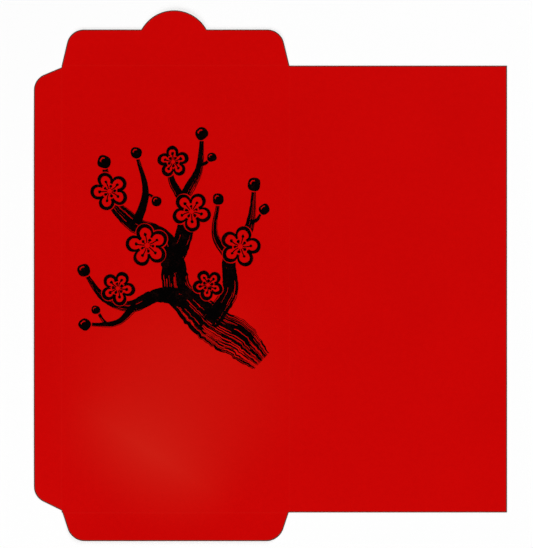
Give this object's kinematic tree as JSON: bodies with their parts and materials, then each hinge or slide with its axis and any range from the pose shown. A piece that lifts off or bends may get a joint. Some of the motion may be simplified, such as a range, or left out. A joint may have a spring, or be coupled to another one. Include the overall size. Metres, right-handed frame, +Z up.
{
  "type": "red envelope",
  "caption": "Flat die-cut paper money packet, printed red with a black plum bough: front and back panels, side and bottom flaps and a closing flap with a round tab, all folding at creases.",
  "frame": {"origin": "middle of the front panel's bare underside, on the surface that the flat blank lies on", "axes": "+Z up out of the printed face; +Y towards the closing flap; +X towards the back panel, across the spine crease"},
  "size_m": [0.1948, 0.2184, 0.0003],
  "materials": {
    "red_paper": "matte",
    "dried_glue": "satin",
    "dry_gum": "gloss",
    "black_ink": "satin"
  },
  "bodies": {
    "front": {"front_panel": "red_paper", "spine_crease": "red_paper", "side_crease": "red_paper", "top_crease": "red_paper", "bottom_crease": "red_paper", "bough_print": "black_ink", "blossom_print": "black_ink", "stamen_print": "black_ink", "bud_print": "black_ink"},
    "back": {"back_panel": "red_paper"},
    "side": {"side_flap": "red_paper", "side_glue": "dried_glue"},
    "closing": {"closing_flap": "red_paper", "closing_gum": "dry_gum"},
    "bottom": {"bottom_flap": "red_paper", "bottom_glue": "dried_glue"}
  },
  "joints": [
    {"name": "back_fold", "type": "hinge", "parent": "front", "child": "back", "pos_m": [0.0469, 0, -0.00005], "axis": [0, 1, 0], "range_deg": [0, 179.99]},
    {"name": "side_fold", "type": "hinge", "parent": "front", "child": "side", "pos_m": [-0.0469, 0, -0.0002], "axis": [0, -1, 0], "range_deg": [0, 179.99]},
    {"name": "closing_fold", "type": "hinge", "parent": "front", "child": "closing", "pos_m": [0, 0.092, -0.00035], "axis": [-1, 0, 0], "range_deg": [0, 179.99]},
    {"name": "bottom_fold", "type": "hinge", "parent": "front", "child": "bottom", "pos_m": [0, -0.092, -0.00035], "axis": [1, 0, 0], "range_deg": [0, 179.99]}
  ]
}
